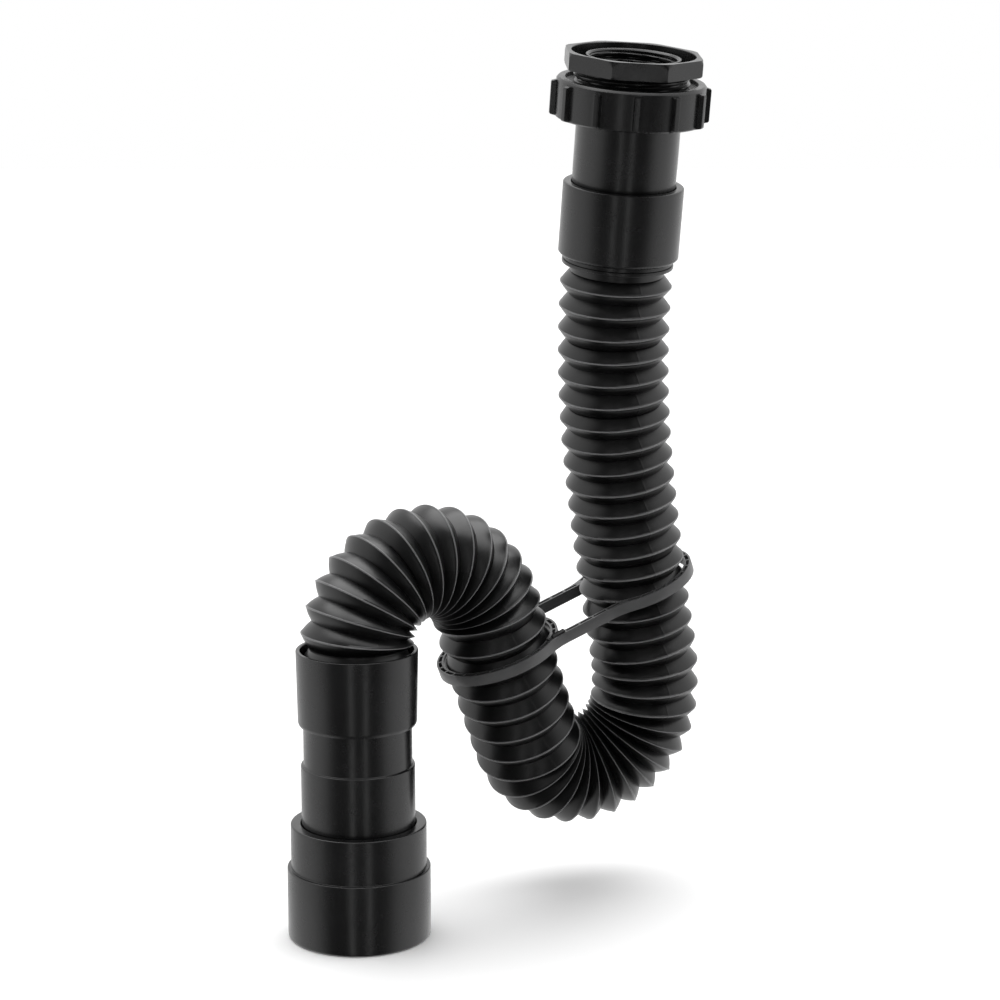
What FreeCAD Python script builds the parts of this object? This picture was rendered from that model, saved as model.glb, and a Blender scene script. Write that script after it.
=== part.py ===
import FreeCAD, Part
import math
import os

# Flexible bellows sink trap, DN 38/40/48/50 outlet, G 1 inlet bush, G 1 1/4 slip nut.
# Millimetres.  The origin is the centre of the outlet's bottom face, and +Z is the
# outlet's axis.  The hose leaves the outlet collar upwards, arches over (crown), comes
# down the middle leg, turns round the trap bend and rises through the upper leg.

# ---- driving dimensions: hose ----
CREST_R = 19.9              # outside radius of a fold's crest
ROOT_R = 16.6               # outside radius at the valley between two folds
HOSE_WALL = 0.8
PLANE_DEG = 25.0            # azimuth of the vertical plane that the trap lies in
MOUTH_Z = 105.0             # height at which the hose rises out of the outlet collar

# One row for each stretch of the hose, from the outlet collar to the upper collar:
# its folds, their pitch along the centre line, and the heading at its end, as the tilt
# from straight up inside the trap's plane and the swing out of that plane, in degrees.
ROUTE = [
    (0.5, 5.95, 7.0, 0.5),      # mouth of the collar
    (3.0, 5.85, 43.0, 5.5),     # crown, rising
    (6.0, 5.9, 120.0, 7.5),     # crown, top
    (4.0, 5.75, 162.5, 4.0),    # crown, falling
    (7.0, 8.65, 155.0, 15.0),   # middle leg
    (6.0, 5.6, 70.5, -10.0),    # trap bend, first half
    (6.0, 5.45, 2.5, -7.0),     # trap bend, second half
    (3.0, 7.45, -12.0, -2.5),   # foot of the upper leg
    (9.0, 8.25, -10.0, -7.0),   # upper leg, low
    (8.5, 8.15, 0.0, -8.5),     # upper leg, high
]

# The hose is one moulding.  It is divided at valleys, counted in half folds from the
# mouth, so that each bending or stretching length is a piece of its own and the rest is
# in lengths that curve one way only.
HOSE_SECTIONS = {
    "hose_crown_outlet_side": (0, 10),
    "hose_crown_top": (10, 20),
    "hose_crown_leg_side": (20, 28),
    "hose_middle_leg": (28, 42),
    "hose_bend_falling": (42, 54),
    "hose_bend_rising": (54, 66),
    "hose_leg_foot": (66, 80),
    "hose_leg_stretch": (80, 94),
    "hose_leg_fore_bend": (94, 100),
    "hose_leg_side_bend": (100, 106),
}
LAST_STATION = 106

# ---- driving dimensions: outlet, heights above the bottom face ----
ADAPTER_R = 25.35           # spigot for a 50 mm drain
ADAPTER_STEP_R = 24.0       # spigot for a 48 mm drain
ADAPTER_STEP_Z = 25.3
ADAPTER_TOP_Z = 41.2
ADAPTER_WALL = 2.2
ADAPTER_FOOT_ROUND = 1.2
ADAPTER_STEP_ROUND = 0.6
SPIGOT_STEP_ROUND = 0.5
ADAPTER_LEDGE_Z = 13.0      # top of the ledge that stops the spigot
SPIGOT_40_R = 20.1
SPIGOT_40_TOP_Z = 62.4
SPIGOT_38_R = 19.15
SPIGOT_38_TOP_Z = 77.2
SPIGOT_BORE_R = 17.2
SPIGOT_END_Z = 14.0
COLLAR_BASE_R = 20.9
COLLAR_RIM_R = 21.4
COLLAR_RIM_Z = 103.9
COLLAR_WALL = 1.5
SLIP_GAP = 0.35             # radial gap between the spigot and the adapter's sleeve
SHOULDER_WEB = 2.2          # thickness of the ledge that stops the spigot in the adapter
SHOULDER_RIM = 0.6          # how far the ledge stays outside the spigot's bore
STEP_SLOPE = 0.6            # height of the slope from the 40 mm to the 38 mm step
COLLAR_FLOOR = 2.6          # thickness of the collar's floor
COLLAR_EDGE = 1.4           # height of the collar's rounded bottom edge
COLLAR_EDGE_MID = 0.4
SEAL_GROOVE_Z = 33.0
SEAL_WIRE_R = 1.2
SEAL_PLAY = 0.1             # between the sealing ring and each side of its groove
LOWER_FLANGE_R = 18.9       # flange at the hose's end, pressed on the lower seal
FLANGE_THICKNESS = 1.6
LOWER_SEAL_HEIGHT = 2.2
LOWER_SEAL_INNER_R = 15.9
BEAD_R = 18.6               # the hose's last bead, seen inside the collar's mouth
BEAD_DROP = 4.2             # from the mouth down to the bead's middle
BEAD_HALF_BASE = 2.4
BEAD_HALF_TOP = 0.5
LOWER_LOCK_START = 4.0      # from the collar's floor to the lower retaining ring
LOWER_LOCK_HEIGHT = 4.0
LOCK_CLEARANCE = 0.3        # between a retaining ring and the hose's plain end
LOCK_BEVEL = 1.2

# ---- driving dimensions: inlet, heights above the hose's top end along the inlet axis ----
CUFF_TOP = 15.0             # top of the hose's plain end, inside the upper collar
UPPER_FLANGE_R = 18.7       # flange at the hose's end, pressed on the upper seal
UPPER_LOCK_BASE = 2.8       # underside of the retaining ring that shows below the collar
UPPER_LOCK_BORE_R = 16.8
UPPER_LOCK_RIM_R = 19.8
UPPER_LOCK_RIM_HEIGHT = 1.5
UPPER_LOCK_BODY_R = 19.2
UPPER_LOCK_CORNER = 0.4
UPPER_SEAL_HEIGHT = 2.0
UPPER_SEAL_INNER_R = 16.0
UPPER_COLLAR_BASE = 5.7
UPPER_COLLAR_TOP = 31.8
UPPER_COLLAR_R = 21.3
UPPER_COLLAR_BORE_R = 19.4
UPPER_COLLAR_GAP = 0.15     # between the collar and the tail tube
COLLAR_ROUND = 1.0          # rounded edges of the upper collar, in three corners
COLLAR_ROUND_MID = 0.3
TAIL_R = 18.25
TAIL_BORE_R = 16.2
FRONT_DEG = -90.0
NUT_BASE = 54.4
NUT_HEIGHT = 13.8
NUT_R = 26.1
NUT_LIP = 2.2
NUT_HOLE_R = 18.65
NUT_THREAD_R = 20.75        # plain cylinder that stands for the G 1 1/4 thread
NUT_LOW_BEVEL = 0.7
NUT_TOP_BEVEL = 0.9
NUT_MOUTH_R = 23.1          # wide mouth above the nut's thread
NUT_MOUTH_DEPTH = 1.6
NUT_MOUTH_SLOPE = 1.2
LUG_COUNT = 12
LUG_WIDTH = 2.3
LUG_R = 28.0
LUG_HEIGHT = 12.0
LUG_TOP_DROP = 1.5          # from the nut's top down to the top of a lug
LUG_ROUND = 0.6
LUG_ROOT = 1.0              # how deep a lug reaches into the nut's wall
LUG_PHASE_DEG = 2.3         # both phases are turned from FRONT_DEG, about the inlet axis
FLANGE_R = 19.5
FLANGE_BASE = NUT_BASE + NUT_LIP + 1.3
FLANGE_HEIGHT = 2.0
WASHER_INNER_R = 18.6
WASHER_OUTER_R = 20.2
WASHER_HEIGHT = 1.2
GASKET_INNER_R = 16.4
GASKET_OUTER_R = 19.6
GASKET_HEIGHT = 1.8
STACK_GAP = 0.05            # between the pieces that the nut presses together
BUSH_GAP = 3.4              # between the nut and the bush's head
BUSH_HEAD = 6.0
BUSH_CORNER_R = 25.0
BUSH_PHASE_DEG = 3.0
BUSH_THREAD_R = 20.3        # plain cylinder that stands for the G 1 1/4 thread
BUSH_SHELL_R = 18.6
BUSH_SLEEVE_R = 16.6
BUSH_BORE_R = 15.145        # minor radius of the G 1 female thread
BUSH_END_GAP = 1.85         # from the gasket to the bush's lower end, the nut tightened
BUSH_RING_FLOOR = 2.4       # bottom of the open ring, above the bush's lower end
BUSH_RECESS_R = 21.6        # the open ring is wider inside the head
BUSH_RECESS_DEPTH = 4.8
BUSH_SLEEVE_DROP = 1.2      # from the head's top down to the top of the inner sleeve
BUSH_SIDES = 8
BUSH_RIM_BEVEL = 1.7        # how far each corner of the head is turned down

# ---- driving dimensions: leg clip ----
CLIP_STATIONS = (31, 77)    # crests that its ring and its loop go round
CLIP_INNER_R = 20.3
CLIP_BAND = 2.6
CLIP_HEIGHT = 4.0
CLIP_BAR_Y = 17.8           # from the clip's middle line to a bar's outer face

X = FreeCAD.Vector(1, 0, 0)
Z = FreeCAD.Vector(0, 0, 1)
ORIGIN = FreeCAD.Vector(0, 0, 0)
IN_PLANE = FreeCAD.Vector(math.cos(math.radians(PLANE_DEG)), math.sin(math.radians(PLANE_DEG)), 0)
ACROSS = Z.cross(IN_PLANE)


def heading(tilt_deg, swing_deg):
    """Unit vector along the hose for a tilt inside its plane and a swing out of it."""
    tilt = math.radians(tilt_deg)
    swing = math.radians(swing_deg)
    flat = IN_PLANE * math.sin(tilt) + Z * math.cos(tilt)
    return flat * math.cos(swing) + ACROSS * math.sin(swing)


def follow_route():
    """Place and heading at every half fold: valleys at even numbers, crests at odd ones."""
    place = Z * MOUTH_Z
    ahead = heading(0, 0)
    stations = [(place, ahead)]
    for folds, pitch, tilt, swing in ROUTE:
        target = heading(tilt, swing)
        turn = ahead.getAngle(target)
        steps = int(round(2 * folds))
        radius = folds * pitch / turn
        inward = (target - ahead * math.cos(turn)).normalize()
        start, first = place, ahead
        for step in range(1, steps + 1):
            angle = turn * step / steps
            along = first * (radius * math.sin(angle))
            place = start + along + inward * (radius * (1 - math.cos(angle)))
            ahead = first * math.cos(angle) + inward * math.sin(angle)
            stations.append((place, ahead))
    return stations


def frame_at(place, normal, side):
    """Placement with its Z along normal and its X as near to side as that allows."""
    across = (side - normal * side.dot(normal)).normalize()
    return FreeCAD.Placement(place, FreeCAD.Rotation(across, normal.cross(across), normal, "ZXY"))


def ring_wire(station, radius):
    wire = Part.Wire(Part.makeCircle(radius))
    wire.Placement = frame_at(station[0], station[1], ACROSS)
    return wire


def bellows(stations, first, last):
    """Corrugated tube between two valleys, open at both ends."""
    outside = []
    inside = []
    for number in range(first, last + 1):
        radius = CREST_R if number % 2 else ROOT_R
        outside.append(ring_wire(stations[number], radius))
        inside.append(ring_wire(stations[number], radius - HOSE_WALL))
    return Part.makeLoft(outside, True, True).cut(Part.makeLoft(inside, True, True))


def turned(outline):
    """Solid of revolution about Z from a closed outline of (radius, height) corners."""
    points = [FreeCAD.Vector(radius, 0, height) for radius, height in outline]
    face = Part.Face(Part.makePolygon(points + points[:1]))
    return face.revolve(ORIGIN, Z, 360)


def tube(outer, inner, base, top):
    return turned([(inner, base), (outer, base), (outer, top), (inner, top)])


def soften(solid, radius, keep):
    """Round the edges for which keep(edge) is true."""
    edges = [edge for edge in solid.Edges if keep(edge)]
    return solid.makeFillet(radius, edges)


def circle_at(radius, height, slack=0.02):
    """Test for a full circular edge of that radius and height about Z."""
    def is_it(edge):
        curve = edge.Curve
        if not isinstance(curve, Part.Circle):
            return False
        return abs(curve.Radius - radius) < slack and abs(edge.CenterOfMass.z - height) < slack
    return is_it


# ---- outlet pieces, about the world's Z axis ----

def outlet_spigot():
    """Collar with the 38 and 40 mm steps, one moulding."""
    inner_rim = COLLAR_RIM_R - COLLAR_WALL
    inner_base = COLLAR_BASE_R - COLLAR_WALL
    floor_z = SPIGOT_38_TOP_Z + COLLAR_FLOOR
    body = turned([
        (SPIGOT_BORE_R, SPIGOT_END_Z),
        (SPIGOT_40_R, SPIGOT_END_Z),
        (SPIGOT_40_R, SPIGOT_40_TOP_Z),
        (SPIGOT_38_R, SPIGOT_40_TOP_Z + STEP_SLOPE),
        (SPIGOT_38_R, SPIGOT_38_TOP_Z),
        (COLLAR_BASE_R - COLLAR_EDGE, SPIGOT_38_TOP_Z),
        (COLLAR_BASE_R - COLLAR_EDGE_MID, SPIGOT_38_TOP_Z + COLLAR_EDGE_MID),
        (COLLAR_BASE_R, SPIGOT_38_TOP_Z + COLLAR_EDGE),
        (COLLAR_RIM_R, COLLAR_RIM_Z),
        (inner_rim, COLLAR_RIM_Z),
        (inner_base, floor_z),
        (SPIGOT_BORE_R, floor_z),
    ])
    return soften(body, SPIGOT_STEP_ROUND, circle_at(SPIGOT_40_R, SPIGOT_40_TOP_Z))


def outlet_adapter():
    """Reducer sleeve with the 48 and 50 mm spigots, pushed onto the 40 mm step."""
    sleeve_r = SPIGOT_40_R + SLIP_GAP
    groove_r = sleeve_r + 2 * (SEAL_WIRE_R - SEAL_PLAY)
    half = SEAL_WIRE_R + SEAL_PLAY
    ledge_r = SPIGOT_BORE_R + SHOULDER_RIM
    ledge_base = ADAPTER_LEDGE_Z - SHOULDER_WEB
    body = turned([
        (ADAPTER_R - ADAPTER_WALL, 0),
        (ADAPTER_R, 0),
        (ADAPTER_R, ADAPTER_STEP_Z),
        (ADAPTER_STEP_R, ADAPTER_STEP_Z),
        (ADAPTER_STEP_R, ADAPTER_TOP_Z),
        (sleeve_r, ADAPTER_TOP_Z),
        (sleeve_r, SEAL_GROOVE_Z + half),
        (groove_r, SEAL_GROOVE_Z + half),
        (groove_r, SEAL_GROOVE_Z - half),
        (sleeve_r, SEAL_GROOVE_Z - half),
        (sleeve_r, ADAPTER_LEDGE_Z),
        (ledge_r, ADAPTER_LEDGE_Z),
        (ledge_r, ledge_base),
        (ADAPTER_R - ADAPTER_WALL, ledge_base),
    ])
    body = soften(body, ADAPTER_FOOT_ROUND, circle_at(ADAPTER_R, 0))
    body = soften(body, ADAPTER_STEP_ROUND, circle_at(ADAPTER_R, ADAPTER_STEP_Z))
    return soften(body, ADAPTER_STEP_ROUND, circle_at(ADAPTER_STEP_R, ADAPTER_TOP_Z))


def adapter_seal():
    wire_r = SEAL_WIRE_R - SEAL_PLAY / 2
    centre_r = SPIGOT_40_R + SLIP_GAP + SEAL_WIRE_R - 2.5 * SEAL_PLAY
    return Part.makeTorus(centre_r, wire_r, Z * SEAL_GROOVE_Z, Z)


def lower_hose_cuff():
    """The hose's plain end in the outlet collar, with its last bead and end flange."""
    inner = ROOT_R - HOSE_WALL
    flange_z = SPIGOT_38_TOP_Z + COLLAR_FLOOR + LOWER_SEAL_HEIGHT
    bead_z = MOUTH_Z - BEAD_DROP
    return turned([
        (inner, flange_z),
        (LOWER_FLANGE_R, flange_z),
        (LOWER_FLANGE_R, flange_z + FLANGE_THICKNESS),
        (ROOT_R, flange_z + FLANGE_THICKNESS),
        (ROOT_R, bead_z - BEAD_HALF_BASE),
        (BEAD_R, bead_z - BEAD_HALF_TOP),
        (BEAD_R, bead_z + BEAD_HALF_TOP),
        (ROOT_R, bead_z + BEAD_HALF_BASE),
        (ROOT_R, MOUTH_Z),
        (inner, MOUTH_Z),
    ])


def lower_seal():
    base = SPIGOT_38_TOP_Z + COLLAR_FLOOR
    return tube(LOWER_FLANGE_R, LOWER_SEAL_INNER_R, base, base + LOWER_SEAL_HEIGHT)


def lower_retaining_ring():
    base = SPIGOT_38_TOP_Z + COLLAR_FLOOR + LOWER_LOCK_START
    top = base + LOWER_LOCK_HEIGHT
    inner_wall = COLLAR_BASE_R - COLLAR_WALL
    bore = ROOT_R + LOCK_CLEARANCE
    return turned([
        (bore, base),
        (inner_wall, base),
        (inner_wall, top),
        (bore + LOCK_BEVEL, top),
        (bore, top - LOCK_BEVEL),
    ])


# ---- inlet pieces, about the Z axis of the inlet frame ----

def upper_hose_cuff():
    """The hose's plain end in the upper collar, with its end flange."""
    inner = ROOT_R - HOSE_WALL
    flange_base = CUFF_TOP - FLANGE_THICKNESS
    return turned([
        (inner, 0),
        (ROOT_R, 0),
        (ROOT_R, flange_base),
        (UPPER_FLANGE_R, flange_base),
        (UPPER_FLANGE_R, CUFF_TOP),
        (inner, CUFF_TOP),
    ])


def upper_retaining_ring():
    """Snap ring that closes the upper collar; its rim shows just below the collar."""
    base = UPPER_LOCK_BASE
    rim_top = base + UPPER_LOCK_RIM_HEIGHT
    top = CUFF_TOP - FLANGE_THICKNESS - 2 * SEAL_PLAY
    return turned([
        (UPPER_LOCK_BORE_R, base + UPPER_LOCK_CORNER),
        (UPPER_LOCK_BORE_R + UPPER_LOCK_CORNER, base),
        (UPPER_LOCK_RIM_R - UPPER_LOCK_CORNER, base),
        (UPPER_LOCK_RIM_R, base + UPPER_LOCK_CORNER),
        (UPPER_LOCK_RIM_R, rim_top - UPPER_LOCK_CORNER),
        (UPPER_LOCK_BODY_R, rim_top),
        (UPPER_LOCK_BODY_R, top),
        (UPPER_LOCK_BORE_R, top),
    ])


def upper_seal():
    return tube(UPPER_FLANGE_R, UPPER_SEAL_INNER_R, CUFF_TOP, CUFF_TOP + UPPER_SEAL_HEIGHT)


def upper_collar():
    top = UPPER_COLLAR_TOP
    base = UPPER_COLLAR_BASE
    bore_top = CUFF_TOP + UPPER_SEAL_HEIGHT + COLLAR_ROUND_MID
    neck_r = TAIL_R + UPPER_COLLAR_GAP
    return turned([
        (UPPER_COLLAR_BORE_R, base),
        (UPPER_COLLAR_R - COLLAR_ROUND, base),
        (UPPER_COLLAR_R - COLLAR_ROUND_MID, base + COLLAR_ROUND_MID),
        (UPPER_COLLAR_R, base + COLLAR_ROUND),
        (UPPER_COLLAR_R, top - COLLAR_ROUND),
        (UPPER_COLLAR_R - COLLAR_ROUND_MID, top - COLLAR_ROUND_MID),
        (UPPER_COLLAR_R - COLLAR_ROUND, top),
        (neck_r, top),
        (neck_r, bore_top),
        (UPPER_COLLAR_BORE_R, bore_top),
    ])


def tail_tube():
    """Smooth tail piece with the flange that the slip nut draws up."""
    base = CUFF_TOP + UPPER_SEAL_HEIGHT
    return turned([
        (TAIL_BORE_R, base),
        (TAIL_R, base),
        (TAIL_R, FLANGE_BASE),
        (FLANGE_R, FLANGE_BASE),
        (FLANGE_R, FLANGE_BASE + FLANGE_HEIGHT),
        (TAIL_BORE_R, FLANGE_BASE + FLANGE_HEIGHT),
    ])


def slip_washer():
    base = FLANGE_BASE - STACK_GAP - WASHER_HEIGHT
    return tube(WASHER_OUTER_R, WASHER_INNER_R, base, base + WASHER_HEIGHT)


def bush_gasket():
    base = FLANGE_BASE + FLANGE_HEIGHT + STACK_GAP
    return tube(GASKET_OUTER_R, GASKET_INNER_R, base, base + GASKET_HEIGHT)


def coupling_nut():
    """Slip nut with twelve grip lugs."""
    top = NUT_BASE + NUT_HEIGHT
    body = turned([
        (NUT_HOLE_R, NUT_BASE),
        (NUT_R - NUT_LOW_BEVEL, NUT_BASE),
        (NUT_R, NUT_BASE + NUT_LOW_BEVEL),
        (NUT_R, top - NUT_TOP_BEVEL),
        (NUT_R - NUT_TOP_BEVEL, top),
        (NUT_MOUTH_R, top),
        (NUT_MOUTH_R, top - NUT_MOUTH_DEPTH),
        (NUT_THREAD_R, top - NUT_MOUTH_DEPTH - NUT_MOUTH_SLOPE),
        (NUT_THREAD_R, NUT_BASE + NUT_LIP),
        (NUT_HOLE_R, NUT_BASE + NUT_LIP),
    ])
    lug_base = top - LUG_TOP_DROP - LUG_HEIGHT
    corner = FreeCAD.Vector(NUT_R - LUG_ROOT, -LUG_WIDTH / 2, lug_base)
    for number in range(LUG_COUNT):
        lug = Part.makeBox(LUG_R - NUT_R + LUG_ROOT, LUG_WIDTH, LUG_HEIGHT, corner)
        outer_edges = [edge for edge in lug.Edges if edge.CenterOfMass.x > LUG_R - 0.01]
        lug = lug.makeFillet(LUG_ROUND, outer_edges)
        lug.rotate(ORIGIN, Z, FRONT_DEG + LUG_PHASE_DEG + number * 360 / LUG_COUNT)
        body = body.fuse(lug)
    return body


def octagon(height):
    """The bush's head before its corners are turned down, standing on that height."""
    corners = []
    for number in range(BUSH_SIDES + 1):
        turn = 360 / BUSH_SIDES
        angle = math.radians(FRONT_DEG + BUSH_PHASE_DEG + turn * (number + 0.5))
        x = BUSH_CORNER_R * math.cos(angle)
        y = BUSH_CORNER_R * math.sin(angle)
        corners.append(FreeCAD.Vector(x, y, height))
    return Part.Face(Part.makePolygon(corners)).extrude(Z * BUSH_HEAD)


def reducing_bush():
    """Octagonal bush: G 1 1/4 outside thread, G 1 inside thread, open ring between."""
    thread_base = FLANGE_BASE + FLANGE_HEIGHT + STACK_GAP + BUSH_END_GAP
    head_base = NUT_BASE + NUT_HEIGHT + BUSH_GAP
    top = head_base + BUSH_HEAD
    clear_r = BUSH_CORNER_R + 1.0
    rim = turned([
        (0, head_base),
        (clear_r, head_base),
        (clear_r, top - BUSH_RIM_BEVEL),
        (clear_r - BUSH_RIM_BEVEL, top),
        (0, top),
    ])
    head = octagon(head_base).common(rim)
    body = head.fuse(tube(BUSH_THREAD_R, BUSH_BORE_R, thread_base, head_base))
    body = body.cut(tube(BUSH_SHELL_R, BUSH_SLEEVE_R, thread_base + BUSH_RING_FLOOR, top + 1))
    body = body.cut(tube(BUSH_RECESS_R, BUSH_SLEEVE_R, top - BUSH_RECESS_DEPTH, top + 1))
    body = body.cut(Part.makeCylinder(BUSH_SLEEVE_R, BUSH_HEAD, Z * (top - BUSH_SLEEVE_DROP)))
    return body.cut(Part.makeCylinder(BUSH_BORE_R, 2 * (top - thread_base), Z * (thread_base - 1)))


# ---- the clip that ties the two legs ----

def clip_frame(stations):
    left = stations[CLIP_STATIONS[0]]
    right = stations[CLIP_STATIONS[1]]
    along = right[0] - left[0]
    up = along.cross(Z.cross(along)).normalize()
    return frame_at((left[0] + right[0]) * 0.5, up, along), along.Length / 2


def leg_clip(half_reach):
    """Closed ring on the middle leg and, by two straight bars, an open loop on the upper leg.

    It lies in the XY plane, with the ring on the left.
    """
    outer_r = CLIP_INNER_R + CLIP_BAND
    base = -CLIP_HEIGHT / 2

    def disc(x, radius):
        return Part.makeCylinder(radius, CLIP_HEIGHT, FreeCAD.Vector(x, 0, base), Z)

    def block(half_width):
        corner = FreeCAD.Vector(-half_reach, -half_width, base)
        return Part.makeBox(2 * half_reach, 2 * half_width, CLIP_HEIGHT, corner)

    rings = disc(-half_reach, outer_r).fuse(disc(half_reach, outer_r))
    bars = block(CLIP_BAR_Y).cut(block(CLIP_BAR_Y - CLIP_BAND))
    body = rings.fuse(bars)
    for x in (-half_reach, half_reach):
        body = body.cut(disc(x, CLIP_INNER_R))
    inner_y = CLIP_BAR_Y - CLIP_BAND
    loop_mouth = Part.makeBox(half_reach, 2 * inner_y, CLIP_HEIGHT, FreeCAD.Vector(0, -inner_y, base))
    return body.cut(loop_mouth).removeSplitter()


def write(name, shape):
    solids = shape.Solids
    if len(solids) != 1 or not shape.isValid():
        raise ValueError("%s: %d solids, valid %s" % (name, len(solids), shape.isValid()))
    solids[0].exportStep("parts/%s.step" % name)
    box = shape.BoundBox
    low = "(%.1f, %.1f, %.1f)" % (box.XMin, box.YMin, box.ZMin)
    high = "(%.1f, %.1f, %.1f)" % (box.XMax, box.YMax, box.ZMax)
    print("%-24s %9.1f mm3  %s to %s" % (name, shape.Volume, low, high))


def main():
    os.makedirs("parts", exist_ok=True)
    stations = follow_route()
    for name, (first, last) in HOSE_SECTIONS.items():
        write(name, bellows(stations, first, last))
    for piece in (outlet_spigot, outlet_adapter, adapter_seal, lower_hose_cuff, lower_seal,
                  lower_retaining_ring):
        write(piece.__name__, piece())
    inlet = frame_at(stations[LAST_STATION][0], stations[LAST_STATION][1], X)
    for piece in (upper_hose_cuff, upper_retaining_ring, upper_seal, upper_collar, tail_tube,
                  slip_washer, bush_gasket, coupling_nut, reducing_bush):
        shape = piece()
        shape.Placement = inlet.multiply(shape.Placement)
        write(piece.__name__, shape)
    place, half_reach = clip_frame(stations)
    clip = leg_clip(half_reach)
    clip.Placement = place.multiply(clip.Placement)
    write("leg_clip", clip)


main()
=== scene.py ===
import math

import bmesh
import bpy
from mathutils import Matrix, Vector


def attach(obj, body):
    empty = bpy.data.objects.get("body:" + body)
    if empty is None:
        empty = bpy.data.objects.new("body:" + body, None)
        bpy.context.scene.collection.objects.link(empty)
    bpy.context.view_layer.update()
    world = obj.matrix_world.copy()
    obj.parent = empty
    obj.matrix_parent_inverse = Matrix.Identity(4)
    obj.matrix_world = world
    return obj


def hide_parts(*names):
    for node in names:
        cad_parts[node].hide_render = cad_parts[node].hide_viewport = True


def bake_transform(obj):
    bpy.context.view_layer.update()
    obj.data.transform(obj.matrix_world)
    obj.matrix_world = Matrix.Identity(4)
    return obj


# Flexible bellows sink trap: the looks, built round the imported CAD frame.
# Metres, in the frame's axes.  Outlines of turned pieces are written in millimetres.

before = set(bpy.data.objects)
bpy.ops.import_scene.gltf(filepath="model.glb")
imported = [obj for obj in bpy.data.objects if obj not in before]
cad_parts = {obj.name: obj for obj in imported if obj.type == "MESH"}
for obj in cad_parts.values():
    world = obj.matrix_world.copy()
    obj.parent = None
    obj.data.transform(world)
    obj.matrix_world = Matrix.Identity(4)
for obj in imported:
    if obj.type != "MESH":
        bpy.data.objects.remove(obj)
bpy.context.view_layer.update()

MM = 0.001
FULL_TURN = 2 * math.pi

# ---- the hose and its route, the same as in the part's source ----
CREST_R = 19.9 * MM
ROOT_R = 16.6 * MM
HOSE_WALL = 0.8 * MM
PLANE_DEG = 25.0
MOUTH_Z = 105.0 * MM

# Each row: folds, their pitch in metres, and the heading at the row's end as the tilt from
# straight up inside the trap's plane and the swing out of that plane, in degrees.
ROUTE = [
    (0.5, 0.00595, 7.0, 0.5),     # mouth of the collar
    (3.0, 0.00585, 43.0, 5.5),    # crown, rising
    (6.0, 0.0059, 120.0, 7.5),    # crown, top
    (4.0, 0.00575, 162.5, 4.0),   # crown, falling
    (7.0, 0.00865, 155.0, 15.0),  # middle leg
    (6.0, 0.0056, 70.5, -10.0),   # trap bend, first half
    (6.0, 0.00545, 2.5, -7.0),    # trap bend, second half
    (3.0, 0.00745, -12.0, -2.5),  # foot of the upper leg
    (9.0, 0.00825, -10.0, -7.0),  # upper leg, low
    (8.5, 0.00815, 0.0, -8.5),    # upper leg, high
]

# Sections of the hose between two stations (half folds from the mouth, valleys are even),
# with the CAD body at each end.
HOSE_SECTIONS = [
    ("hose_crown_outlet_side", 0, 10, "crown_outlet_side", "crown_top"),
    ("hose_crown_top", 10, 20, "crown_top", "crown_leg_side"),
    ("hose_crown_leg_side", 20, 28, "crown_leg_side", "trap"),
    ("hose_trap_bend", 28, 80, "trap", "trap"),
    ("hose_leg_stretch", 80, 94, "trap", "leg_middle"),
    ("hose_leg_fore_bend", 94, 100, "leg_middle", "leg_top"),
    ("hose_leg_side_bend", 100, 106, "leg_top", "tail"),
]
TRAP_NODES = ["hose_middle_leg", "hose_bend_falling", "hose_bend_rising", "hose_leg_foot"]
LAST_STATION = 106
CLIP_STATIONS = (31, 77)

Z = Vector((0, 0, 1))
IN_PLANE = Vector((math.cos(math.radians(PLANE_DEG)), math.sin(math.radians(PLANE_DEG)), 0))
ACROSS = Z.cross(IN_PLANE)


# ---- route ----

def heading(tilt_deg, swing_deg):
    tilt = math.radians(tilt_deg)
    swing = math.radians(swing_deg)
    flat = IN_PLANE * math.sin(tilt) + Z * math.cos(tilt)
    return flat * math.cos(swing) + ACROSS * math.sin(swing)


def route_arcs():
    """Arcs of the route: first station, steps, start, heading, direction inward, turn, radius."""
    place = Z * MOUTH_Z
    ahead = heading(0, 0)
    station = 0
    arcs = []
    for folds, pitch, tilt, swing in ROUTE:
        target = heading(tilt, swing)
        turn = ahead.angle(target)
        inward = (target - ahead * math.cos(turn)).normalized()
        radius = folds * pitch / turn
        steps = int(round(2 * folds))
        arcs.append((station, steps, place, ahead, inward, turn, radius))
        place = place + ahead * (radius * math.sin(turn)) + inward * (radius * (1 - math.cos(turn)))
        ahead = target
        station += steps
    return arcs


ARCS = route_arcs()


def route_at(station):
    """Place and heading at any station, whole or not."""
    for first, steps, start, ahead, inward, turn, radius in ARCS:
        if station <= first + steps:
            break
    angle = turn * (station - first) / steps
    sine = math.sin(angle)
    cosine = math.cos(angle)
    place = start + ahead * (radius * sine) + inward * (radius * (1 - cosine))
    return place, ahead * cosine + inward * sine


def frame_at(place, normal, side):
    """Matrix with its Z along normal and its X as near to side as that allows."""
    x_axis = (side - normal * side.dot(normal)).normalized()
    y_axis = normal.cross(x_axis)
    matrix = Matrix((x_axis, y_axis, normal)).transposed().to_4x4()
    matrix.translation = place
    return matrix


# ---- mesh helpers ----

def finish_mesh(name, points, faces, crease_deg):
    """Object with outward normals, smooth but for edges sharper than crease_deg."""
    mesh = bpy.data.meshes.new(name)
    mesh.from_pydata(points, [], faces)
    work = bmesh.new()
    work.from_mesh(mesh)
    bmesh.ops.recalc_face_normals(work, faces=work.faces)
    work.to_mesh(mesh)
    work.free()
    mesh.shade_smooth()
    mesh.set_sharp_from_angle(angle=math.radians(crease_deg))
    piece = bpy.data.objects.new(name, mesh)
    bpy.context.scene.collection.objects.link(piece)
    return piece


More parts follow.
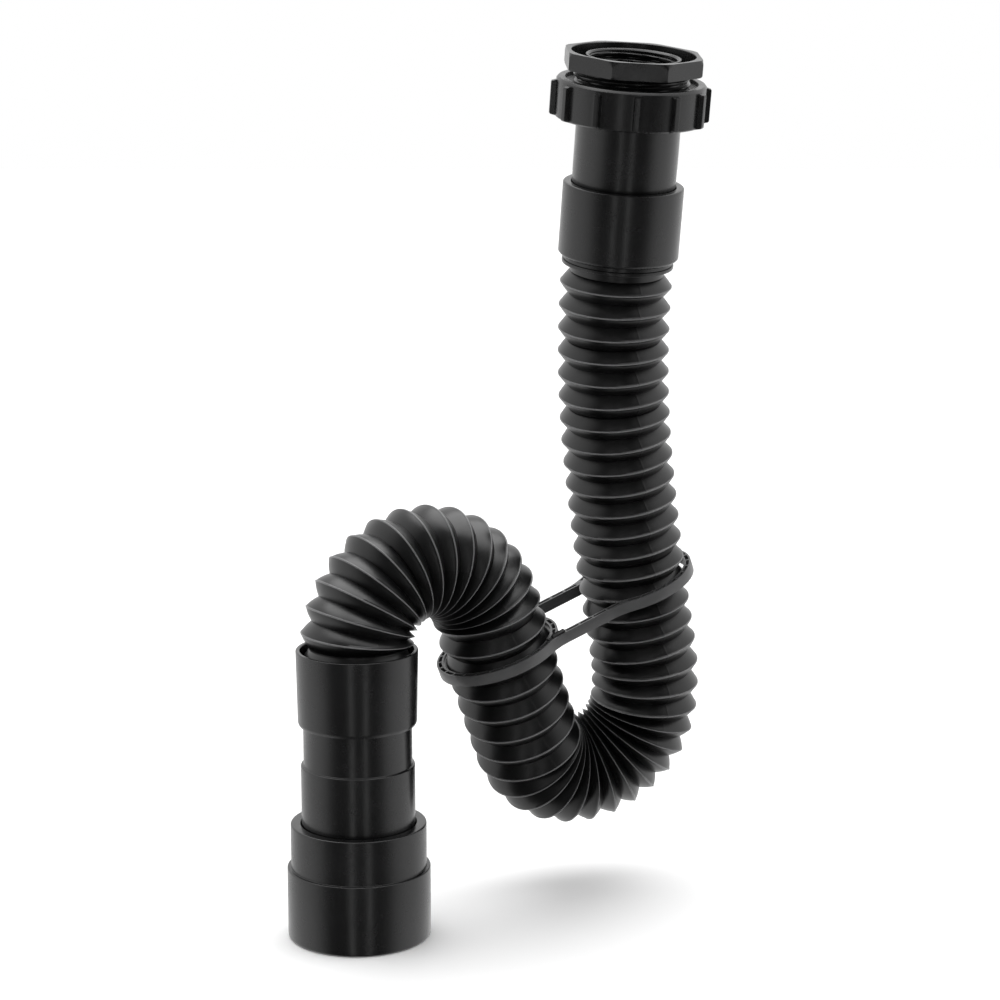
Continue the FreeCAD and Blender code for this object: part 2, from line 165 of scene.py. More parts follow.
def ring_solid(name, rings, crease_deg=32):
    """Closed solid: each ring of points is joined to the next, and the last to the first."""
    count = len(rings[0])
    points = [point for ring in rings for point in ring]
    faces = []
    for number in range(len(rings)):
        here = number * count
        there = (number + 1) % len(rings) * count
        for k in range(count):
            after = (k + 1) % count
            faces.append((here + k, here + after, there + after, there + k))
    return finish_mesh(name, points, faces, crease_deg)


def even_turns(count):
    return [FULL_TURN * k / count for k in range(count)]


def rounded(outline, steps=4):
    """Closed outline of (x, y, corner radius) with every corner turned into an arc."""
    smooth = []
    count = len(outline)
    for number in range(count):
        corner = Vector(outline[number][:2])
        radius = outline[number][2]
        back = Vector(outline[number - 1][:2]) - corner
        forth = Vector(outline[(number + 1) % count][:2]) - corner
        opening = back.angle(forth, math.pi)
        if radius <= 0 or opening > math.radians(176):
            smooth.append((corner.x, corner.y))
            continue
        reach = min(radius / math.tan(opening / 2), 0.48 * back.length, 0.48 * forth.length)
        start = corner + back.normalized() * reach
        end = corner + forth.normalized() * reach
        for k in range(steps + 1):
            t = k / steps
            point = start * (1 - t) ** 2 + corner * (2 * t * (1 - t)) + end * t ** 2
            smooth.append((point.x, point.y))
    return smooth


def ladder(radius, low, high, step):
    """Outline points at one radius, close together, for a surface that a shape will move."""
    count = max(1, int(math.ceil(abs(high - low) / step)))
    return [(radius, low + (high - low) * k / count, 0) for k in range(count + 1)]


def turned(name, outline, place=None, turns=None, shape=None, crease_deg=32):
    """Solid of revolution from an outline in millimetres.  shape(turn, radius, height) may
    move a point in or out."""
    turns = turns or even_turns(176)
    place = place or Matrix.Identity(4)
    rings = []
    for radius, height in rounded(outline):
        ring = []
        for turn in turns:
            r = shape(turn, radius, height) if shape else radius
            ring.append(place @ (Vector((r * math.cos(turn), r * math.sin(turn), height)) * MM))
        rings.append(ring)
    return ring_solid(name, rings, crease_deg)


# ---- hose ----

HOSE_TURNS = 132
CREST_BEAD = 0.07            # share of a half fold that the bead along a crest takes
CREST_RISE = 0.06            # share of the fold's height that the bead stands up
BEAD_STEPS = (0, 0.4, 0.72, 0.93, 1)
FLANK_STEPS = (0.22, 0.36, 0.5, 0.64, 0.78, 0.9)
FLANK_POWER = 1.25           # the folds bulge: 1 would be a straight flank
TIGHT_HALF_PITCH = 1.9 * MM  # folds closer than this are shallower, as on the inside of a bend
TIGHT_LEAST = 0.3            # share of its depth that a fold always keeps
SEAM_TURNS = (0.0, math.pi)  # the mould's two parting lines, from the side of the plane
SEAM_HEIGHT = 0.06 * MM
SEAM_STEP_DEG = 0.45
SEAM_HALF_DEG = 0.72


def flank_height(away):
    """Height of a fold's flank, which stops where the bead starts."""
    return (1 - CREST_RISE) * (1 - away ** FLANK_POWER)


def fold_height(away):
    """Height of the outer skin between valley 0 and crest 1, at a share away from the crest."""
    if away >= CREST_BEAD:
        return flank_height(away)
    foot = flank_height(CREST_BEAD)
    return foot + (1 - foot) * math.sqrt(1 - (away / CREST_BEAD) ** 2)


def hose_turns():
    """Turns round the hose, closer together at the two parting lines."""
    turns = set(even_turns(HOSE_TURNS))
    for seam in SEAM_TURNS:
        for offset in (-2, -1, 1, 2):
            turns.add((seam + math.radians(offset * SEAM_STEP_DEG)) % FULL_TURN)
    return sorted(turns)


def hose_ring(station, radius, turns, outside):
    """Ring of the hose's wall.  Only the outside has parting lines and shallower tight folds."""
    place, ahead = route_at(station)
    matrix = frame_at(place, ahead, ACROSS)
    before, start = route_at(max(station - 1, 0))
    after, end = route_at(min(station + 1, LAST_STATION))
    half_pitch = (after - before).length / 2
    bend = matrix.to_3x3().transposed() @ (end - start) / 2
    ring = []
    for turn in turns:
        r = radius
        if outside:
            inward = bend.x * math.cos(turn) + bend.y * math.sin(turn)
            depth = min(1.0, max(TIGHT_LEAST, (half_pitch - inward * ROOT_R) / TIGHT_HALF_PITCH))
            near = min(abs((turn - line + math.pi) % FULL_TURN - math.pi) for line in SEAM_TURNS)
            r = CREST_R - (CREST_R - r) * depth
            r += SEAM_HEIGHT * max(0.0, 1 - near / math.radians(SEAM_HALF_DEG))
        ring.append(matrix @ Vector((r * math.cos(turn), r * math.sin(turn), 0)))
    return ring


def hose_section(name, first, last):
    """Corrugated wall between two valleys, open at both ends, with the beads' faces marked."""
    falling = [CREST_BEAD * share for share in BEAD_STEPS] + list(FLANK_STEPS) + [1.0]
    turns = hose_turns()
    rings = [hose_ring(first, ROOT_R, turns, True)]
    bead_rings = []
    for crest in range(first + 1, last, 2):
        for away in [-step for step in reversed(falling[1:-1])] + falling:
            if -CREST_BEAD <= away < CREST_BEAD:
                bead_rings.append(len(rings))
            radius = ROOT_R + (CREST_R - ROOT_R) * fold_height(abs(away))
            rings.append(hose_ring(crest + away, radius, turns, True))
    for station in range(last, first - 1, -1):
        radius = CREST_R if station % 2 else ROOT_R
        rings.append(hose_ring(station, radius - HOSE_WALL, turns, False))
    piece = ring_solid(name, rings, 50)
    # The bead faces are the mask for the painted highlight along the crests.
    bead = piece.data.attributes.new("bead", "FLOAT", "FACE")
    for number in bead_rings:
        for face in range(number * len(turns), (number + 1) * len(turns)):
            bead.data[face].value = 1.0
    return piece


def make_hose(material):
    for node, first, last, lower_body, upper_body in HOSE_SECTIONS:
        piece = hose_section(node + "_folds", first, last)
        piece.data.materials.append(material)
        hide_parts(*(TRAP_NODES if node == "hose_trap_bend" else [node]))
        if lower_body == upper_body:
            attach(piece, lower_body)
        else:
            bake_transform(piece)


# ---- outlet pieces ----

OUTLET_TURNS = even_turns(200)


def make_lower_cuff(material):
    piece = turned("lower_cuff", [
        (15.8, 82.0, 0.3),
        (18.9, 82.0, 0.3),
        (18.9, 83.6, 0.4),
        (16.6, 83.6, 0.5),
        (16.6, 97.6, 0.6),
        (18.7, 100.6, 1.2),
        (18.7, 101.4, 1.2),
        (16.6, 104.4, 0.6),
        (16.6, 105.0, 0),
        (15.8, 105.0, 0),
    ], turns=OUTLET_TURNS)
    piece.data.materials.append(material)
    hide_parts("lower_hose_cuff")
    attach(piece, "crown_outlet_side")


def make_spigot(material):
    piece = turned("outlet_collar_and_steps", [
        (17.2, 14.0, 0.2),
        (20.1, 14.0, 0.8),
        (20.1, 62.4, 0.45),
        (19.15, 62.75, 0.3),
        (19.15, 76.9, 0.5),
        (19.6, 77.2, 0.2),
        (20.5, 77.2, 0.4),
        (20.92, 78.3, 0.9),
        (21.4, 103.9, 0.4),
        (19.95, 103.9, 0.4),
        (19.4, 79.8, 0.4),
        (17.2, 79.8, 0.3),
    ], turns=OUTLET_TURNS)
    piece.data.materials.append(material)
    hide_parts("outlet_spigot")
    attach(piece, "outlet")


def make_adapter(material):
    piece = turned("drain_adapter", [
        (23.15, 0.0, 0.6),
        (25.35, 0.0, 1.1),
        (25.35, 25.3, 0.5),
        (24.0, 25.3, 0.25),
        (24.0, 41.2, 0.6),
        (20.45, 41.2, 0.3),
        (20.45, 34.3, 0.1),
        (22.65, 34.3, 0.1),
        (22.65, 31.7, 0.1),
        (20.45, 31.7, 0.1),
        (20.45, 13.0, 0.2),
        (17.8, 13.0, 0.3),
        (17.8, 10.8, 0.3),
        (23.15, 10.8, 0.5),
    ], turns=OUTLET_TURNS)
    piece.data.materials.append(material)
    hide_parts("outlet_adapter")
    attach(piece, "adapter")


def make_lower_ring(material):
    piece = turned("lower_snap_ring", [
        (16.95, 83.8, 0.3),
        (19.35, 83.8, 0.3),
        (19.35, 87.8, 0.4),
        (18.0, 87.8, 0.4),
        (16.95, 86.6, 0.4),
    ], turns=OUTLET_TURNS)
    piece.data.materials.append(material)
    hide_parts("lower_retaining_ring")
    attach(piece, "outlet")


# ---- inlet pieces, about the inlet's own axis ----

THREAD_PITCH = 2.309        # millimetres, both the G 1 and the G 1 1/4 thread
THREAD_FLAT = 0.16          # share of the thread's triangle cut off at the crest and at the root
LOWER_RING_BASE = 2.8
COLLAR_BASE = 5.7
COLLAR_TOP = 31.8
COLLAR_R = 21.3
TAIL_R = 18.25
NUT_BASE = 54.4
NUT_TOP = NUT_BASE + 13.8
NUT_R = 26.1
NUT_THREAD_R = 20.75
NUT_THREAD_DEPTH = 1.1
NUT_MOUTH_R = 23.1
NUT_HOLE_R = 18.65
LUG_COUNT = 12
LUG_R = 27.9
LUG_HALF_DEG = 2.3
LUG_PHASE_DEG = 2.3 - 90
HEAD_BASE = NUT_TOP + 3.4
HEAD_TOP = HEAD_BASE + 6.0
HEAD_CORNER_R = 25.0
HEAD_PHASE_DEG = 3.0 - 90 + 22.5
THREAD_BASE = NUT_BASE + 7.4


def inlet_frame():
    place, ahead = route_at(LAST_STATION)
    return frame_at(place, ahead, Vector((1, 0, 0)))


INLET = inlet_frame()


def tooth(turn, height):
    """Rounded 55 degree thread form, 1 at the crest and 0 at the root."""
    phase = (height / THREAD_PITCH - turn / FULL_TURN) % 1.0
    triangle = 1 - abs(2 * phase - 1)
    return min(1.0, max(0.0, (triangle - THREAD_FLAT) / (1 - 2 * THREAD_FLAT)))


def fade(value, low, high, run):
    """0 outside low to high, rising to 1 over run inside it."""
    return min(1.0, max(0.0, min(value - low, high - value) / run))


def make_upper_cuff(material):
    piece = turned("upper_cuff", [
        (15.8, 0.0, 0),
        (16.6, 0.0, 0),
        (16.6, 13.4, 0.4),
        (18.7, 13.4, 0.3),
        (18.7, 15.0, 0.3),
        (15.8, 15.0, 0.3),
    ], INLET)
    piece.data.materials.append(material)
    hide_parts("upper_hose_cuff")
    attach(piece, "tail")


def make_upper_ring(material):
    base = LOWER_RING_BASE
    piece = turned("upper_snap_ring", [
        (16.8, base + 0.5, 0.2),
        (17.2, base, 0.2),
        (19.8, base, 0.45),
        (19.8, base + 1.4, 0.35),
        (19.2, base + 1.5, 0.1),
        (19.2, 13.2, 0.2),
        (16.8, 13.2, 0.2),
    ], INLET)
    piece.data.materials.append(material)
    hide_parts("upper_retaining_ring")
    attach(piece, "tail")


def make_upper_collar(material):
    piece = turned("upper_collar_sleeve", [
        (19.4, COLLAR_BASE, 0.3),
        (20.2, COLLAR_BASE, 0.5),
        (COLLAR_R, COLLAR_BASE + 1.0, 1.0),
        (COLLAR_R, COLLAR_TOP, 0.8),
        (18.5, COLLAR_TOP, 0.35),
        (18.4, COLLAR_TOP - 1.2, 0.2),
        (18.4, 17.3, 0.2),
        (19.4, 17.3, 0.2),
    ], INLET)
    piece.data.materials.append(material)
    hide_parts("upper_collar")
    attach(piece, "tail")


def make_tail_tube(material):
    flange = NUT_BASE + 3.5
    piece = turned("tail_pipe", [
        (16.2, 17.0, 0.2),
        (TAIL_R, 17.0, 0.5),
        (TAIL_R, flange, 0.4),
        (19.5, flange, 0.3),
        (19.5, flange + 2.0, 0.4),
        (16.2, flange + 2.0, 0.4),
    ], INLET)
    piece.data.materials.append(material)
    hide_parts("tail_tube")
    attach(piece, "tail")


def lug_turns():
    """Turns for the nut, close together over the sides of each lug."""
    turns = []
    step = 360 / LUG_COUNT
    near = (-3.4, -2.9, -2.5, -2.1, -1.7, -1.1, 0.0, 1.1, 1.7, 2.1, 2.5, 2.9, 3.4)
    between = (6.0, 9.0, 12.0, 15.0, 18.0, 21.0, 24.0)
    for number in range(LUG_COUNT):
        middle = LUG_PHASE_DEG + number * step
        turns += [math.radians(middle + offset) for offset in near + between]
    return turns


def nut_shape(turn, radius, height):
    """Adds the lugs outside and the thread inside."""
    if radius > NUT_R - 0.05:
        step = 360 / LUG_COUNT
        away = abs((math.degrees(turn) - LUG_PHASE_DEG + step / 2) % step - step / 2)
        side = min(1.0, max(0.0, (3.0 - away) / 1.0))
        side = side * side * (3 - 2 * side)
        ends = fade(height, NUT_BASE + 0.25, NUT_TOP - 1.3, 0.75)
        ends = math.sqrt(1 - (1 - ends) ** 2)
        return radius + (LUG_R - NUT_R) * side * ends
    if abs(radius - NUT_THREAD_R) < 0.01 and height > NUT_BASE + 3:
        cut = fade(height, NUT_BASE + 3.4, NUT_TOP - 2.8, 0.8)
        return radius + NUT_THREAD_DEPTH * cut * (1 - tooth(turn, height))
    return radius


def make_nut(material):
    outline = [(NUT_HOLE_R, NUT_BASE, 0.3), (NUT_R - 0.6, NUT_BASE, 0.4)]
    outline += ladder(NUT_R, NUT_BASE + 0.55, NUT_TOP - 0.8, 0.45)
    outline += [(NUT_R - 0.7, NUT_TOP, 0.4)]
    outline += [(NUT_MOUTH_R, NUT_TOP, 0.25), (NUT_MOUTH_R, NUT_TOP - 1.6, 0.2)]
    outline += ladder(NUT_THREAD_R, NUT_TOP - 2.8, NUT_BASE + 2.2, 0.23)
    outline += [(NUT_HOLE_R, NUT_BASE + 2.2, 0.2)]
    piece = turned("slip_nut", outline, INLET, lug_turns(), nut_shape, 40)
    piece.data.materials.append(material)
    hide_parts("coupling_nut")
    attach(piece, "nut")


def octagon_r(turn, corner_r):
    """Distance to an octagon's side, with corner_r the distance to its corners."""
    away = (math.degrees(turn) - HEAD_PHASE_DEG + 22.5) % 45 - 22.5
    apothem = corner_r * math.cos(math.radians(22.5))
    return apothem / math.cos(math.radians(22.5 - abs(away)))


def bush_turns():
    turns = []
    near = (-1.6, -0.8, 0.0, 0.8, 1.6)
    between = tuple(4.0 + 2.3 * k for k in range(17))
    for number in range(8):
        corner = HEAD_PHASE_DEG + number * 45
        turns += [math.radians(corner + offset) for offset in near + between]
    return turns


HEAD_MARK_R = 30.0          # outline radius that stands for the octagon's sides
BORE_R = 15.145
SLEEVE_TOP = HEAD_TOP - 1.2


def bush_shape(turn, radius, height):
    """Gives the head its eight sides and cuts both threads."""
    if radius > HEAD_MARK_R - 1:
        rim_r = 24.35 + (HEAD_TOP - height) * 0.42
        foot_r = 24.5 + (height - HEAD_BASE) * 1.2
        return min(octagon_r(turn, HEAD_CORNER_R) - 0.05, rim_r, foot_r)
    if abs(radius - 20.3) < 0.01 and height < HEAD_BASE:
        return radius - 1.0 * fade(height, THREAD_BASE, HEAD_BASE - 0.2, 0.7) * (1 - tooth(turn, height))
    if abs(radius - BORE_R) < 0.01:
        cut = fade(height, THREAD_BASE + 0.6, SLEEVE_TOP - 0.4, 0.8)
        return radius + 0.95 * cut * tooth(turn, height)
    return radius


def make_bush(material):
    mark = HEAD_MARK_R
    outline = [(BORE_R + 0.5, THREAD_BASE, 0.2), (19.6, THREAD_BASE, 0.2)]
    outline += ladder(20.3, THREAD_BASE + 0.7, HEAD_BASE - 0.3, 0.2)
    outline += [(20.3, HEAD_BASE, 0)]
    outline += ladder(mark, HEAD_BASE, HEAD_TOP, 0.5)
    outline += [(21.6, HEAD_TOP, 0.35), (21.6, HEAD_TOP - 4.8, 0.4), (18.6, HEAD_TOP - 4.8, 0.3)]
    outline += [(18.6, THREAD_BASE + 2.4, 0.4), (16.6, THREAD_BASE + 2.4, 0.4)]
    outline += [(16.6, SLEEVE_TOP, 0.3), (15.9, SLEEVE_TOP, 0.3)]
    outline += ladder(BORE_R, SLEEVE_TOP - 0.6, THREAD_BASE + 0.6, 0.2)
    piece = turned("octagonal_bush", outline, INLET, bush_turns(), bush_shape, 30)
    piece.data.materials.append(material)
    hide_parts("reducing_bush")
    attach(piece, "bush")


# ---- leg clip ----

CLIP_INNER_R = 20.3
CLIP_OUTER_R = 22.9
CLIP_HEIGHT = 4.0
CLIP_BAR_Y = 17.8
CLIP_BAND = 2.6
CLIP_FILLET_R = 20.0        # where a ring flows into a bar
CLIP_WALL = 0.7
CLIP_WEB = 1.0
RIB_PITCH = 5.4
RIB_HALF = 0.4
BAR_END_GAP = 0.2
OPEN_DEG = 54.0             # half of the loop's open side
CLIP_BEVEL = 0.18


def arc(x, radius, start_deg, end_deg, y=0.0, step_deg=3.0):
    """Points of an arc about (x, y)."""
    count = max(2, int(math.ceil(abs(end_deg - start_deg) / step_deg)))
    points = []
    for k in range(count + 1):
        angle = math.radians(start_deg + (end_deg - start_deg) * k / count)
        points.append((x + radius * math.cos(angle), y + radius * math.sin(angle)))
    return points


def clip_outline(reach):
    """Outside of the clip: two round ends that flow into the bars' outer faces."""
    bend_y = CLIP_BAR_Y + CLIP_FILLET_R
    away = math.sqrt((CLIP_OUTER_R + CLIP_FILLET_R) ** 2 - bend_y ** 2)
    lean = math.degrees(math.atan2(bend_y, away))
    x = reach - away
    outline = arc(reach, CLIP_OUTER_R, lean - 180, 180 - lean)
    outline += arc(x, CLIP_FILLET_R, -lean, -90, bend_y)
    outline += arc(-x, CLIP_FILLET_R, -90, lean - 180, bend_y)
    outline += arc(-reach, CLIP_OUTER_R, lean, 360 - lean)
    outline += arc(-x, CLIP_FILLET_R, 180 - lean, 90, -bend_y)
    outline += arc(x, CLIP_FILLET_R, 90, lean, -bend_y)
    return outline


def clip_gap(reach):
    """Opening between the bars, from the ring on the left to the end of the loop."""
    y = CLIP_BAR_Y - CLIP_BAND
    at_ring = math.degrees(math.asin(y / CLIP_OUTER_R))
    at_loop = 180 - math.degrees(math.asin(y / CLIP_INNER_R))
    return arc(reach, CLIP_INNER_R, -at_loop, at_loop) + arc(-reach, CLIP_OUTER_R, at_ring, -at_ring)


def prism(name, outlines, low, high):
    """Plate between two heights: the first outline is its edge, the others are holes."""
    curve = bpy.data.curves.new(name, "CURVE")
    curve.dimensions = "2D"
    curve.fill_mode = "BOTH"
    curve.extrude = (high - low) / 2 * MM
    for outline in outlines:
        spline = curve.splines.new("POLY")
        spline.points.add(len(outline) - 1)
        for point, (x, y) in zip(spline.points, outline):
            point.co = (x * MM, y * MM, 0, 1)
        spline.use_cyclic_u = True
    holder = bpy.data.objects.new(name, curve)
    mesh = bpy.data.meshes.new_from_object(holder)
    bpy.data.objects.remove(holder)
    mesh.transform(Matrix.Translation((0, 0, (low + high) / 2 * MM)))
    work = bmesh.new()
    work.from_mesh(mesh)
    bmesh.ops.remove_doubles(work, verts=work.verts, dist=1e-7)
    bmesh.ops.recalc_face_normals(work, faces=work.faces)
    work.to_mesh(mesh)
    work.free()
    piece = bpy.data.objects.new(name, mesh)
    bpy.context.scene.collection.objects.link(piece)
    return piece


def pocket_outlines(reach):
    """The open-topped pockets between the clip's two walls, each a small closed outline."""
    inner = CLIP_INNER_R + CLIP_WALL
    outer = CLIP_OUTER_R - CLIP_WALL
    pockets = []
    rib_deg = math.degrees(RIB_PITCH / CLIP_OUTER_R)
    half_rib_deg = math.degrees(RIB_HALF / CLIP_OUTER_R)
    count = int(360 / rib_deg)
    for x in (-reach, reach):
        for number in range(count):
            start = 360 * number / count + half_rib_deg
            end = 360 * (number + 1) / count - half_rib_deg
            if x > 0 and min(abs(180 - start), abs(180 - end)) < OPEN_DEG:
                continue
            pockets.append(arc(x, outer, start, end) + arc(x, inner, end, start))
    bar_outer = CLIP_BAR_Y - CLIP_WALL
    bar_inner = CLIP_BAR_Y - CLIP_BAND + CLIP_WALL
    clear_x = reach - math.sqrt(CLIP_OUTER_R ** 2 - CLIP_BAR_Y ** 2) - BAR_END_GAP
    cells = int(2 * clear_x / RIB_PITCH)
    for side in (-1, 1):
        for number in range(cells):
            low = -clear_x + 2 * clear_x * number / cells + RIB_HALF
            high = -clear_x + 2 * clear_x * (number + 1) / cells - RIB_HALF
            pockets.append([(low, side * bar_inner), (high, side * bar_inner),
                            (high, side * bar_outer), (low, side * bar_outer)])
    return pockets


def clip_frame():
    left = route_at(CLIP_STATIONS[0])[0]
    right = route_at(CLIP_STATIONS[1])[0]
    along = right - left
    up = along.cross(Z.cross(along)).normalized()
    return frame_at((left + right) / 2, up, along), along.length / 2


def make_clip(material):
    place, half_reach = clip_frame()
    reach = half_reach / MM
    holes = [clip_gap(reach), arc(-reach, CLIP_INNER_R, 0, 357)]
    low = -CLIP_HEIGHT / 2
    high = CLIP_HEIGHT / 2
    piece = prism("leg_tie_clip", [clip_outline(reach)] + holes, low, high)
    cutter = prism("pocket_cutter", pocket_outlines(reach), low + CLIP_WEB, high + 1)
    cut = piece.modifiers.new("pockets", "BOOLEAN")
    cut.operation = "DIFFERENCE"
    cut.solver = "EXACT"
    cut.object = cutter
    bevel = piece.modifiers.new("edges", "BEVEL")
    bevel.width = CLIP_BEVEL * MM
    bevel.segments = 2
    bevel.limit_method = "ANGLE"
    bevel.angle_limit = math.radians(40)
    bpy.context.view_layer.update()
    made = piece.evaluated_get(bpy.context.evaluated_depsgraph_get())
    mesh = bpy.data.meshes.new_from_object(made)
    piece.modifiers.clear()
    piece.data = mesh
    bpy.data.objects.remove(cutter)
    mesh.transform(place)
    mesh.shade_smooth()
    mesh.set_sharp_from_angle(angle=math.radians(35))
    mesh.materials.clear()
    mesh.materials.append(material)
    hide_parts("leg_clip")
    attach(piece, "trap")


# ---- materials ----

def node_material(name):
    material = bpy.data.materials.new(name)
    material.use_nodes = True
    nodes = material.node_tree.nodes
    shader = nodes["Principled BSDF"]
    return material, nodes, material.node_tree.links, shader


def noise(nodes, links, coordinates, scale, detail, roughness=0.5):
    texture = nodes.new("ShaderNodeTexNoise")
    texture.inputs["Scale"].default_value = scale
    texture.inputs["Detail"].default_value = detail
    texture.inputs["Roughness"].default_value = roughness
    links.new(coordinates, texture.inputs["Vector"])
    return texture.outputs["Fac"]


def ramp(nodes, links, factor, low, high, dark, light):
    blend = nodes.new("ShaderNodeValToRGB")
    blend.color_ramp.elements[0].position = low
    blend.color_ramp.elements[1].position = high
    blend.color_ramp.elements[0].color = (*dark, 1)
    blend.color_ramp.elements[1].color = (*light, 1)
    links.new(factor, blend.inputs["Fac"])
    return blend.outputs["Color"]


def spread(nodes, links, factor, low, high):
    """Maps a 0 to 1 factor to low to high."""
    mapped = nodes.new("ShaderNodeMapRange")
    mapped.inputs["From Min"].default_value = 0.3
    mapped.inputs["From Max"].default_value = 0.7
    mapped.inputs["To Min"].default_value = low
    mapped.inputs["To Max"].default_value = high
    links.new(factor, mapped.inputs["Value"])
    return mapped.outputs["Result"]


def bump(nodes, links, height, strength, distance, normal=None):
    node = nodes.new("ShaderNodeBump")
    node.inputs["Strength"].default_value = strength
    node.inputs["Distance"].default_value = distance
    links.new(height, node.inputs["Height"])
    if normal:
        links.new(normal, node.inputs["Normal"])
    return node.outputs["Normal"]


def plastic(name, dark, light, rough_low, rough_high, grain, ripple):
    """Black moulded plastic: uneven tone, uneven gloss, fine grain and a slow ripple."""
    material, nodes, links, shader = node_material(name)
    where = nodes.new("ShaderNodeTexCoord").outputs["Object"]
    tone = noise(nodes, links, where, 60, 5)
    links.new(ramp(nodes, links, tone, 0.35, 0.7, dark, light), shader.inputs["Base Color"])
    gloss = noise(nodes, links, where, 220, 6, 0.6)
    links.new(spread(nodes, links, gloss, rough_low, rough_high), shader.inputs["Roughness"])
    fine = noise(nodes, links, where, 2600, 2)
    slow = noise(nodes, links, where, 75, 1)
    first = bump(nodes, links, slow, ripple, 0.0006)
    links.new(bump(nodes, links, fine, grain, 0.00004, first), shader.inputs["Normal"])
    return material


def paint_bead_highlight(material, color):
    """Paints a highlight on the beads along the folds' crests: a lighter colour than the rest, standing
    in for the light that their curves catch.
    """
    nodes = material.node_tree.nodes
    links = material.node_tree.links
    base = nodes["Principled BSDF"].inputs["Base Color"]
    tone = base.links[0].from_socket
    bead = nodes.new("ShaderNodeAttribute")
    bead.attribute_name = "bead"
    blend = nodes.new("ShaderNodeMixRGB")
    # The painted highlight's colour, lighter than the hose's own tone.
    blend.inputs["Color2"].default_value = (*color, 1)
    links.new(bead.outputs["Fac"], blend.inputs["Fac"])
    links.new(tone, blend.inputs["Color1"])
    links.new(blend.outputs["Color"], base)
    return material


def make_materials():
    hose = plastic("black_hose_plastic", (0.002, 0.002, 0.0022), (0.004, 0.004, 0.0042),
                   0.28, 0.36, 0.30, 0.03)
    return {
        # The hose's crest beads get a painted highlight, a lighter colour along every crest.
        "hose": paint_bead_highlight(hose, (0.13, 0.13, 0.132)),
        "fitting": plastic("black_fitting_plastic", (0.005, 0.005, 0.0052), (0.008, 0.008, 0.0083),
                           0.22, 0.29, 0.18, 0.03),
        "clip": plastic("black_clip_plastic", (0.060, 0.060, 0.061), (0.080, 0.080, 0.081),
                        0.30, 0.38, 0.18, 0.03),
        "rubber": plastic("black_seal_rubber", (0.008, 0.008, 0.008), (0.014, 0.014, 0.014),
                          0.60, 0.75, 0.5, 0.05),
    }


# ---- scene ----

def make_camera():
    camera = bpy.data.objects.new("camera", bpy.data.cameras.new("camera"))
    camera.data.lens = 93.6
    camera.data.sensor_width = 36
    camera.location = (0.0499, -0.8793, 0.3293)
    camera.rotation_euler = (math.radians(78.9), 0, 0)
    camera.data.clip_start = 0.01
    bpy.context.scene.collection.objects.link(camera)
    bpy.context.scene.camera = camera


def area_light(name, place, target, size_x, size_y, power, glint=1.0):
    light = bpy.data.lights.new(name, "AREA")
    light.specular_factor = glint
    light.shape = "RECTANGLE"
    light.size = size_x
    light.size_y = size_y
    light.energy = power
    holder = bpy.data.objects.new(name, light)
    holder.visible_camera = False
    holder.location = place
    holder.rotation_euler = (Vector(target) - Vector(place)).to_track_quat("-Z", "Y").to_euler()
    bpy.context.scene.collection.objects.link(holder)


FLOOR_FRONT_Y = -0.50
FLOOR_HALF = 4.0


def make_floor():
    corners = [(-FLOOR_HALF, FLOOR_FRONT_Y, 0), (FLOOR_HALF, FLOOR_FRONT_Y, 0),
               (FLOOR_HALF, FLOOR_HALF, 0), (-FLOOR_HALF, FLOOR_HALF, 0)]
    mesh = bpy.data.meshes.new("floor")
    mesh.from_pydata(corners, [], [(0, 1, 2, 3)])
    floor = bpy.data.objects.new("floor", mesh)
    bpy.context.scene.collection.objects.link(floor)
    material, nodes, links, shader = node_material("pale_floor")
    where = nodes.new("ShaderNodeTexCoord").outputs["Object"]
    tone = noise(nodes, links, where, 3, 2)
    links.new(ramp(nodes, links, tone, 0.3, 0.7, (0.90, 0.90, 0.90), (0.93, 0.93, 0.93)),
              shader.inputs["Base Color"])
    shader.inputs["Roughness"].default_value = 0.9
    mesh.materials.append(material)
    floor.visible_glossy = False


# Brightness of the studio round the object: degrees from the front, and brightness there.
STUDIO = [(0, 0.13), (26, 0.10), (40, 0.08), (52, 0.28), (64, 0.75), (82, 1.05), (180, 1.0)]
STUDIO_MIDDLE_X = 0.05
STRIP_AWAY_X = 0.13          # from the middle to each upright strip light
STRIP_Y = -0.52
STRIP_Z = 0.12


def math_node(nodes, links, operation, first, second=None):
    node = nodes.new("ShaderNodeMath")
    node.operation = operation
    for socket, value in zip(node.inputs, (first, second)):
        if isinstance(value, (int, float)):
            socket.default_value = value
        elif value is not None:
            links.new(value, socket)
    return node.outputs["Value"]


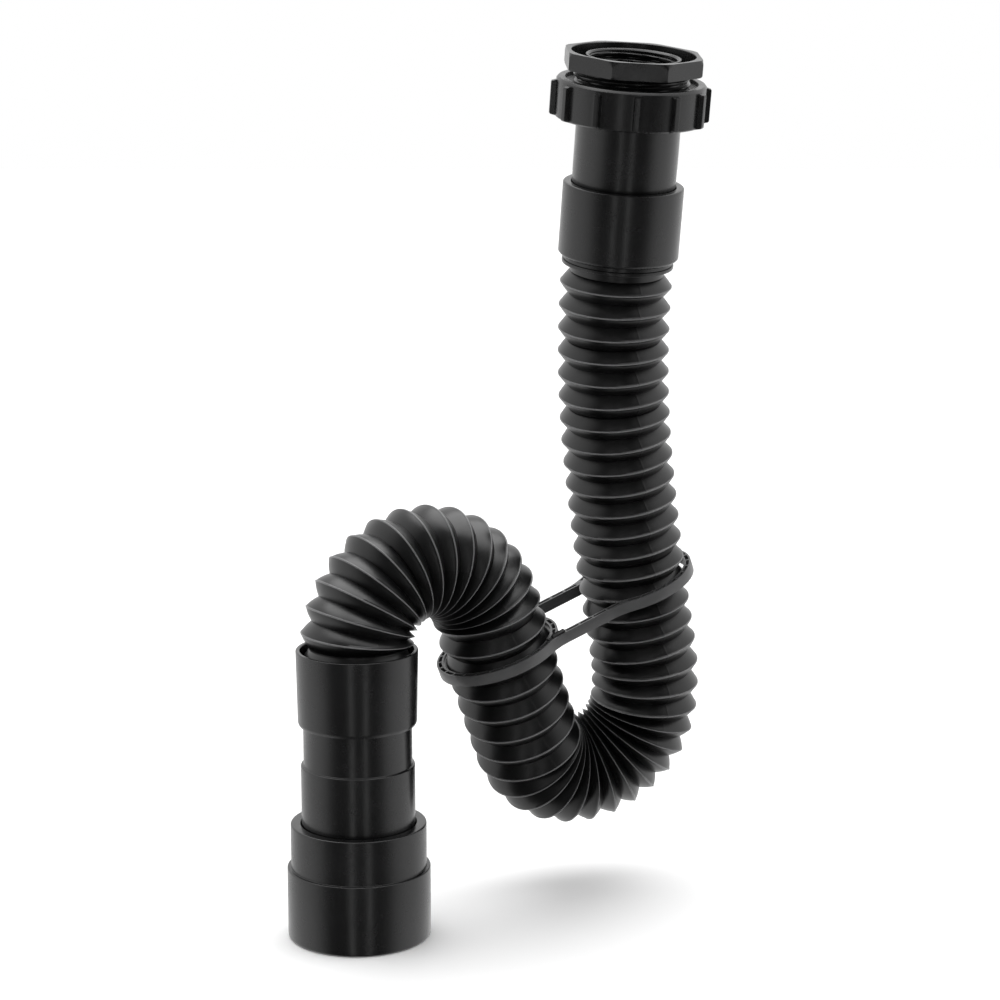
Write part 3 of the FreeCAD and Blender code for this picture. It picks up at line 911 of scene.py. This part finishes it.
def make_world():
    world = bpy.data.worlds.new("studio")
    world.use_nodes = True
    nodes = world.node_tree.nodes
    links = world.node_tree.links
    background = nodes["Background"]
    parts = nodes.new("ShaderNodeSeparateXYZ")
    links.new(nodes.new("ShaderNodeTexCoord").outputs["Generated"], parts.inputs["Vector"])
    side = math_node(nodes, links, "ABSOLUTE", parts.outputs["X"])
    front = math_node(nodes, links, "MULTIPLY", parts.outputs["Y"], -1)
    share = math_node(nodes, links, "DIVIDE", math_node(nodes, links, "ARCTAN2", side, front), math.pi)
    band = nodes.new("ShaderNodeValToRGB")
    stops = band.color_ramp.elements
    while len(stops) < len(STUDIO):
        stops.new(0.5)
    for stop, (degrees, level) in zip(stops, STUDIO):
        stop.position = degrees / 180
        stop.color = (level, level, level, 1)
    links.new(share, band.inputs["Fac"])
    seen = nodes.new("ShaderNodeMix")
    seen.data_type = "RGBA"
    seen.inputs["B"].default_value = (1, 1, 1, 1)
    links.new(nodes.new("ShaderNodeLightPath").outputs["Is Camera Ray"], seen.inputs["Factor"])
    links.new(band.outputs["Color"], seen.inputs["A"])
    links.new(seen.outputs["Result"], background.inputs["Color"])
    bpy.context.scene.world = world


def make_overhead():
    """Wide overhead light, the same all over the floor."""
    light = bpy.data.lights.new("overhead", "SUN")
    light.energy = 2.3
    light.specular_factor = 0.0
    light.angle = math.radians(70)
    holder = bpy.data.objects.new("overhead", light)
    holder.rotation_euler = (math.radians(-12), 0, 0)
    bpy.context.scene.collection.objects.link(holder)


def make_light():
    make_world()
    make_overhead()
    area_light("top_softbox", (0.05, 0.15, 1.3), (0.05, 0.05, 0), 1.2, 1.2, 3, 0.0)
    for side in (-1, 1):
        x = STUDIO_MIDDLE_X + side * STRIP_AWAY_X
        area_light(f"strip_{side}", (x, STRIP_Y, STRIP_Z), (x, 0, STRIP_Z), 0.045, 1.2, 0.26)
    bpy.context.scene.view_settings.view_transform = "Standard"


def main():
    materials = make_materials()
    make_hose(materials["hose"])
    make_lower_cuff(materials["hose"])
    make_upper_cuff(materials["hose"])
    for make in (make_spigot, make_adapter, make_lower_ring, make_upper_ring, make_upper_collar,
                 make_tail_tube, make_nut, make_bush):
        make(materials["fitting"])
    make_clip(materials["clip"])
    for node in ("adapter_seal", "lower_seal", "upper_seal", "bush_gasket", "slip_washer"):
        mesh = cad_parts[node].data
        mesh.materials.clear()
        mesh.materials.append(materials["rubber"])
    make_camera()
    make_floor()
    make_light()


main()
